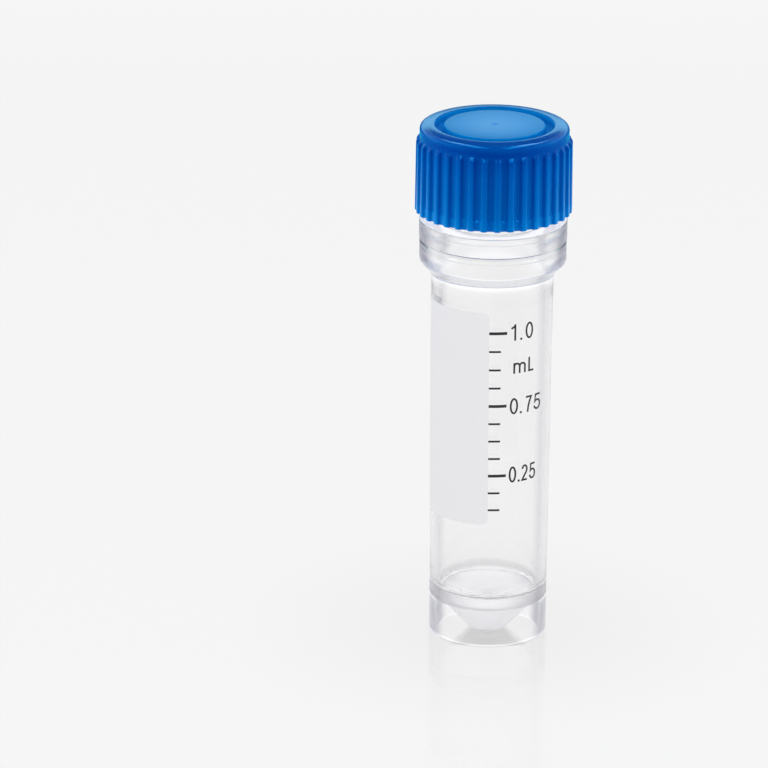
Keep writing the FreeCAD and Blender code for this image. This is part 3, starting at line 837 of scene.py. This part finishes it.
tc = wnt.nodes.new("ShaderNodeTexCoord")
way = tc.outputs["Generated"]
wsep = wnt.nodes.new("ShaderNodeSeparateXYZ")
wnt.links.new(way, wsep.inputs["Vector"])
# a soft white tent: a little darker where the camera looks in, brighter at its two sides, and with an unlit, bluish
# grey ceiling behind and above the vial
entry = wstep(wvec("DOT_PRODUCT", way, (0.0, -0.9397, 0.342)), 0.60, 0.97, 0.97, 0.80)
aside = wmath("ABSOLUTE", wsep.outputs["X"])
raised = wstep(wsep.outputs["Z"], DARK_Z0, DARK_Z1, 0.0, 1.0)
sides = wmath("MULTIPLY", raised, wstep(aside, 0.60, 0.85, 0.0, SIDE_GAIN))
dark = wmath("MULTIPLY", raised, wmath("MULTIPLY", wstep(aside, 0.50, 0.72, 1.0, 0.0), wstep(wsep.outputs["Y"], -0.35, -0.05, 0.0, 1.0)))
white = wmath("ADD", entry, sides)
mixed = wnt.nodes.new("ShaderNodeMix")
mixed.data_type = "RGBA"
wnt.links.new(dark, mixed.inputs["Factor"])
wnt.links.new(white, mixed.inputs["A"])
mixed.inputs["B"].default_value = DARK_COLOUR
wnt.links.new(mixed.outputs["Result"], bg.inputs["Color"])
bg.inputs["Strength"].default_value = 1.0

GLOW_STEPS = (0.0400, 0.0480, 0.0560, 0.0605, 0.0665)
# four soft boxes for the cap's gloss; the clear tube is lit by the tent alone
cap_only = bpy.data.collections.new("cap_light")
cap_only.objects.link(cap)
MIDDLE = Vector((0.0, 0.0, 0.046))


def soft_box(name, azimuth, elevation, wide, high, radiance, hue, gloss_only=False):
    """A rectangle of light 0.4 m from the cap; azimuth from the far side, positive towards +X."""
    a, h = math.radians(azimuth), math.radians(elevation)
    way_to = Vector((math.sin(a) * math.cos(h), math.cos(a) * math.cos(h), math.sin(h)))
    data = bpy.data.lights.new(name, "AREA")
    data.shape = "RECTANGLE"
    data.size, data.size_y = wide, high
    data.energy = radiance * math.pi * wide * high
    data.color = hue
    ob = bpy.data.objects.new(name, data)
    bpy.context.scene.collection.objects.link(ob)
    ob.location = MIDDLE + way_to * 0.4
    ob.rotation_euler = (-way_to).to_track_quat("-Z", "Y").to_euler()
    ob.visible_camera = False
    ob.visible_diffuse = not gloss_only
    ob.light_linking.receiver_collection = cap_only
    return ob


soft_box("side_left", -92.0, 8.0, 0.36, 0.30, 2.3, (0.05, 1.0, 0.94))
soft_box("side_right", 92.0, 8.0, 0.36, 0.30, 2.3, (0.05, 1.0, 0.94))
# and a low pair without any gloss, for the ribs at the cap's two sides
soft_box("low_left", -92.0, 0.0, 0.36, 0.09, 17.0, (0.0, 1.0, 0.33)).visible_glossy = False
soft_box("low_right", 92.0, 0.0, 0.36, 0.09, 17.0, (0.0, 1.0, 0.33)).visible_glossy = False
for name, x in (("strip_left", -0.14), ("strip_right", 0.14)):
    strip = soft_box(name, 0.0, 90.0, 0.14, 0.60, 18.0, (0.5, 0.95, 1.0), True)
    strip.location = (x, -0.05, 0.396)
    strip.rotation_euler = (0.0, 0.0, 0.0)

# close round the back of the cap and seen by gloss only: a black card above, a pale blue band below it
def gloss_card(name, verts, faces):
    me = bpy.data.meshes.new(name)
    me.from_pydata(verts, [], faces)
    ob = bpy.data.objects.new(name, me)
    bpy.context.scene.collection.objects.link(ob)
    ob.visible_camera = ob.visible_diffuse = ob.visible_transmission = ob.visible_shadow = ob.visible_volume_scatter = False
    return me


flag_verts = []
for y, z in ((0.046, 0.0665), (0.040, 0.110), (0.0, 0.120), (-0.030, 0.110)):
    for x in (-0.018, 0.018):
        flag_verts.append((x, y, z))
flag_me = gloss_card("flag", flag_verts, [(2 * k, 2 * k + 1, 2 * k + 3, 2 * k + 2) for k in range(3)])
gm, gnt, gb = material("black_card")
gb.inputs["Base Color"].default_value = (0.02, 0.02, 0.02, 1.0)
gb.inputs["Roughness"].default_value = 0.9
gb.inputs["Specular IOR Level"].default_value = 0.0
flag_me.materials.append(gm)

glow_verts = []
for k in range(27):
    a = math.radians(-130.0 + 10.0 * k)
    for z in (GLOW_STEPS[0], GLOW_STEPS[-1]):
        glow_verts.append((0.046 * math.sin(a), 0.046 * math.cos(a), z))
glow_me = gloss_card("glow_band", glow_verts, [(2 * k, 2 * k + 2, 2 * k + 3, 2 * k + 1) for k in range(26)])
hm, hnt, hb = material("glow_card")
hb.inputs["Base Color"].default_value = (0.0, 0.0, 0.0, 1.0)
hb.inputs["Specular IOR Level"].default_value = 0.0
hb.inputs["Emission Color"].default_value = (0.36, 0.86, 1.0, 1.0)
htc = hnt.nodes.new("ShaderNodeTexCoord")
hsep = hnt.nodes.new("ShaderNodeSeparateXYZ")
hnt.links.new(htc.outputs["Object"], hsep.inputs["Vector"])
low_part = ranged(hnt, hsep.outputs["Z"], 0.10, 1.0, GLOW_STEPS[1], GLOW_STEPS[2])
side_part = times(hnt, ranged(hnt, hsep.outputs["Y"], 4.0, 0.0, 0.010, 0.034), ranged(hnt, hsep.outputs["Z"], 0.22, 1.0, 0.0480, 0.0510))
side_part = times(hnt, side_part, ranged(hnt, hsep.outputs["Z"], 1.0, 0.0, 0.0545, 0.0560))
low_part = times(hnt, low_part, side_part, "MAXIMUM")
high_part = ranged(hnt, hsep.outputs["Z"], 0.0, 1.7, GLOW_STEPS[2], GLOW_STEPS[3])
hnt.links.new(times(hnt, low_part, high_part, "ADD"), hb.inputs["Emission Strength"])
glow_me.materials.append(hm)

low_verts = []
for k in range(27):
    a = math.radians(-130.0 + 10.0 * k)
    for z in (0.0290, 0.0400):
        low_verts.append((0.0462 * math.sin(a), 0.0462 * math.cos(a), z))
low_me = gloss_card("low_card", low_verts, [(2 * k, 2 * k + 2, 2 * k + 3, 2 * k + 1) for k in range(26)])
lm, lnt, lb = material("low_card")
lb.inputs["Base Color"].default_value = (0.0, 0.0, 0.0, 1.0)
lb.inputs["Specular IOR Level"].default_value = 0.0
lb.inputs["Emission Strength"].default_value = 1.0
ltc = lnt.nodes.new("ShaderNodeTexCoord")
lsep = lnt.nodes.new("ShaderNodeSeparateXYZ")
lnt.links.new(ltc.outputs["Object"], lsep.inputs["Vector"])
lnt.links.new(tinted(lnt, ranged(lnt, lsep.outputs["Z"], 0.0, 1.0, 0.0292, 0.0330), [(0.0, (0.88, 0.88, 0.88)), (1.0, (0.06, 0.72, 1.0))]), lb.inputs["Emission Color"])
low_me.materials.append(lm)

# a pale ring under both cards keeps them out of the floor's mirror image
ring_verts = []
for k in range(72):
    a = TAU * k / 72
    for r in (0.0085, 0.0468):
        ring_verts.append((r * math.sin(a), r * math.cos(a), 0.0285))
ring_me = gloss_card("under_ring", ring_verts, [(2 * k, 2 * k + 1, (2 * k + 3) % 144, (2 * k + 2) % 144) for k in range(72)])
um, unt, ub = material("under_ring")
ub.inputs["Base Color"].default_value = (0.0, 0.0, 0.0, 1.0)
ub.inputs["Specular IOR Level"].default_value = 0.0
ub.inputs["Emission Color"].default_value = DARK_COLOUR
ub.inputs["Emission Strength"].default_value = 1.0
ring_me.materials.append(um)

scene = bpy.context.scene
scene.view_settings.view_transform = "Standard"
scene.cycles.max_bounces = 96
scene.cycles.transmission_bounces = 96
scene.cycles.glossy_bounces = 96
scene.cycles.diffuse_bounces = 8
